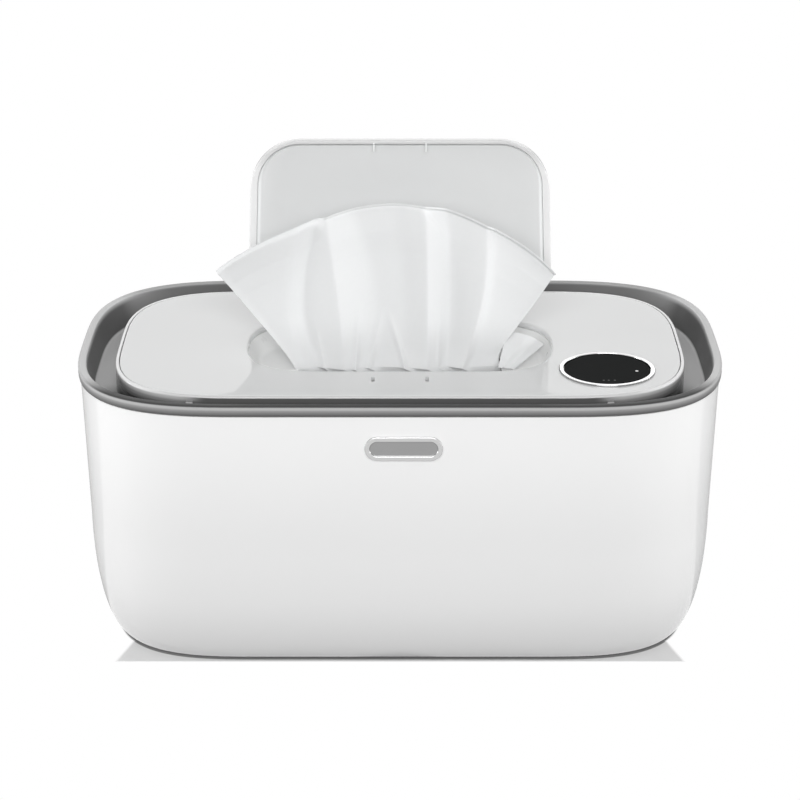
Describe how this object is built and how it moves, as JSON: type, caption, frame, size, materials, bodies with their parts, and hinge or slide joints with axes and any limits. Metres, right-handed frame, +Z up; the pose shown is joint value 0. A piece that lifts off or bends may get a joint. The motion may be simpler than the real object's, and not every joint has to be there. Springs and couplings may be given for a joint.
{
  "type": "baby wipe warmer",
  "caption": "Rounded tabletop wipe warmer with a grey rim, a lid on a back hinge, a raised dispensing flap, a round touch display and a wipe standing in its slot.",
  "frame": {"origin": "middle of the footprint on the surface that the feet stand on", "axes": "+X to the object's right seen from its front, +Y to its back, +Z up"},
  "size_m": [0.25, 0.1456, 0.1832],
  "materials": {
    "case": "gloss white",
    "rim": "satin grey",
    "panel": "high gloss pale grey",
    "inner": "satin pale grey",
    "bright": "bright",
    "lens": "gloss black",
    "feet": "matt",
    "silicone": "matt",
    "steel": "plain",
    "heater": "plain",
    "film": "amber film",
    "foam": "soft foam",
    "board": "solder mask",
    "black": "satin",
    "lead": "soft cover",
    "cloth": "soft nonwoven"
  },
  "bodies": {
    "root": {"outer_case": "case", "base_plate": "case", "foot_1": "feet", "foot_2": "feet", "foot_3": "feet", "foot_4": "feet", "base_screw_1": "steel", "base_screw_2": "steel", "base_screw_3": "steel", "base_screw_4": "steel", "rim_frame": "rim", "inner_tub": "inner", "heater_plate": "heater", "heating_film": "film", "insulation_pad": "foam", "temperature_sensor": "black", "control_board": "board", "control_chip": "black", "power_socket": "black", "inlet_lead": "lead", "heater_lead": "lead", "display_lead_base": "lead", "badge": "bright", "lid_hinge_pin_left": "steel", "lid_hinge_pin_right": "steel", "wipe_stack": "cloth"},
    "lid": {"lid_frame": "case", "lid_top_panel": "panel", "dispensing_well": "panel", "lid_liner": "inner", "liner_screw_1": "steel", "liner_screw_2": "steel", "liner_screw_3": "steel", "liner_screw_4": "steel", "lid_seal": "silicone", "display_bezel": "bright", "display_lens": "lens", "display_board": "board", "display_lead_lid": "lead", "pulled_wipe": "cloth", "next_wipe": "cloth", "flap_hinge_pin_left": "steel", "flap_hinge_pin_right": "steel"},
    "flap": {"flap_shell": "case", "flap_liner": "inner"}
  },
  "joints": [
    {"name": "lid_hinge", "type": "hinge", "parent": "root", "child": "lid", "pos_m": [0, 0.0646, 0.1063], "axis": [-1, 0, 0], "range_deg": [0, 95]},
    {"name": "flap_hinge", "type": "hinge", "parent": "lid", "child": "flap", "pos_m": [0, 0.0263, 0.1121], "axis": [1, 0, 0], "range_deg": [0, 93], "deforming": ["pulled_wipe"]}
  ]
}
